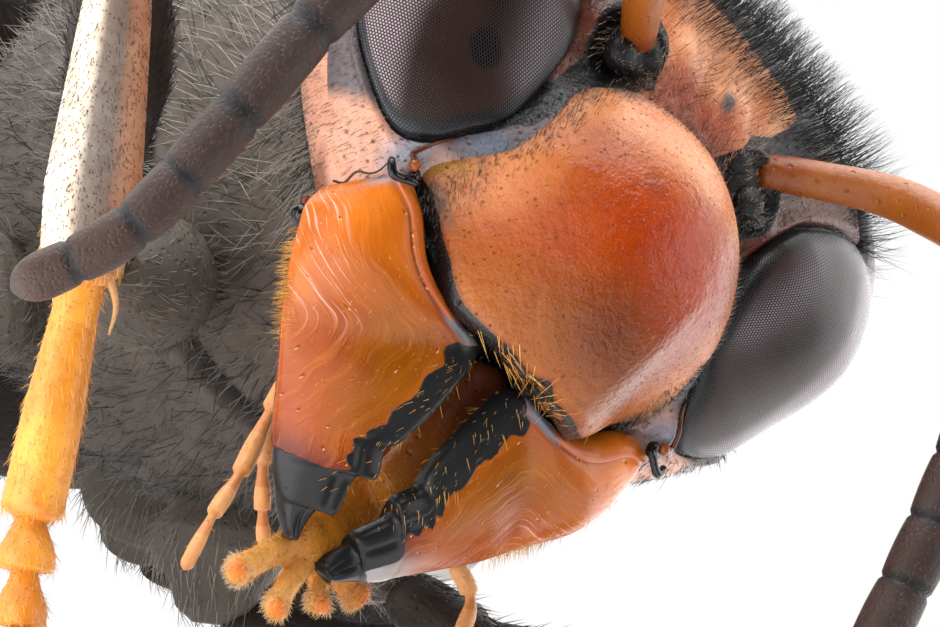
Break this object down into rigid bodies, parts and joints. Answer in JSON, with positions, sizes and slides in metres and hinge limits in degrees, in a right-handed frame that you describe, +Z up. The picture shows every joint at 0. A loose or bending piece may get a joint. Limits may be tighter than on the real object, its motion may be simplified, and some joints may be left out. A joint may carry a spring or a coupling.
{
  "type": "asian hornet, standing",
  "caption": "Life-size hornet standing still, head turned a little to its left: orange face with spread jaws, dark body, banded abdomen, folded smoky wings.",
  "frame": {"origin": "middle of the bounding box's underside, on the floor the feet stand on", "axes": "+Y toward the tail, -Y the way the face looks, +X to the insect's left, +Z up"},
  "size_m": [0.0194, 0.0266, 0.0091],
  "materials": {
    "orange_cuticle": "satin, finely punctured",
    "eye_brown": "smooth gloss with fine facets",
    "mandible_orange": "smooth gloss, black along the teeth",
    "mouth_yellow": "soft, finely haired",
    "scape_orange": "satin",
    "flagellum_brown": "velvety",
    "black_brown": "velvety, finely haired",
    "leg_grey_brown": "satin, speckled",
    "band_yellow": "satin",
    "tail_brown": "satin",
    "wing_smoke": "smoky, glossy",
    "tarsus_yellow": "satin, finely haired"
  },
  "bodies": {
    "root": {"clypeus": "orange_cuticle", "coxa_fore_left": "black_brown", "coxa_fore_right": "black_brown", "coxa_hind_left": "black_brown", "coxa_hind_right": "black_brown", "coxa_mid_left": "black_brown", "coxa_mid_right": "black_brown", "eye_left": "eye_brown", "eye_right": "eye_brown", "femur_fore_left": "leg_grey_brown", "femur_fore_right": "leg_grey_brown", "femur_hind_left": "leg_grey_brown", "femur_hind_right": "leg_grey_brown", "femur_mid_left": "leg_grey_brown", "femur_mid_right": "leg_grey_brown", "flagellum_left": "flagellum_brown", "flagellum_right": "flagellum_brown", "forewing_left": "wing_smoke", "forewing_right": "wing_smoke", "gaster_1": "black_brown", "gaster_2": "black_brown", "gaster_3": "black_brown", "gaster_4": "band_yellow", "gaster_5": "tail_brown", "gaster_6": "tail_brown", "head": "orange_cuticle", "hindwing_left": "wing_smoke", "hindwing_right": "wing_smoke", "labial_palp_left": "mouth_yellow", "labial_palp_right": "mouth_yellow", "mandible_left": "mandible_orange", "mandible_right": "mandible_orange", "maxillary_palp_left": "mouth_yellow", "maxillary_palp_right": "mouth_yellow", "mesonotum": "black_brown", "mesopleura": "black_brown", "neck": "black_brown", "petiole": "black_brown", "pronotum": "black_brown", "propodeum": "black_brown", "scape_left": "scape_orange", "scape_right": "scape_orange", "scutellum": "black_brown", "tarsus_fore_left": "tarsus_yellow", "tarsus_fore_right": "tarsus_yellow", "tarsus_hind_left": "tarsus_yellow", "tarsus_hind_right": "tarsus_yellow", "tarsus_mid_left": "tarsus_yellow", "tarsus_mid_right": "tarsus_yellow", "tibia_fore_left": "leg_grey_brown", "tibia_fore_right": "leg_grey_brown", "tibia_hind_left": "leg_grey_brown", "tibia_hind_right": "leg_grey_brown", "tibia_mid_left": "leg_grey_brown", "tibia_mid_right": "leg_grey_brown", "tongue": "mouth_yellow"}
  },
  "joints": []
}
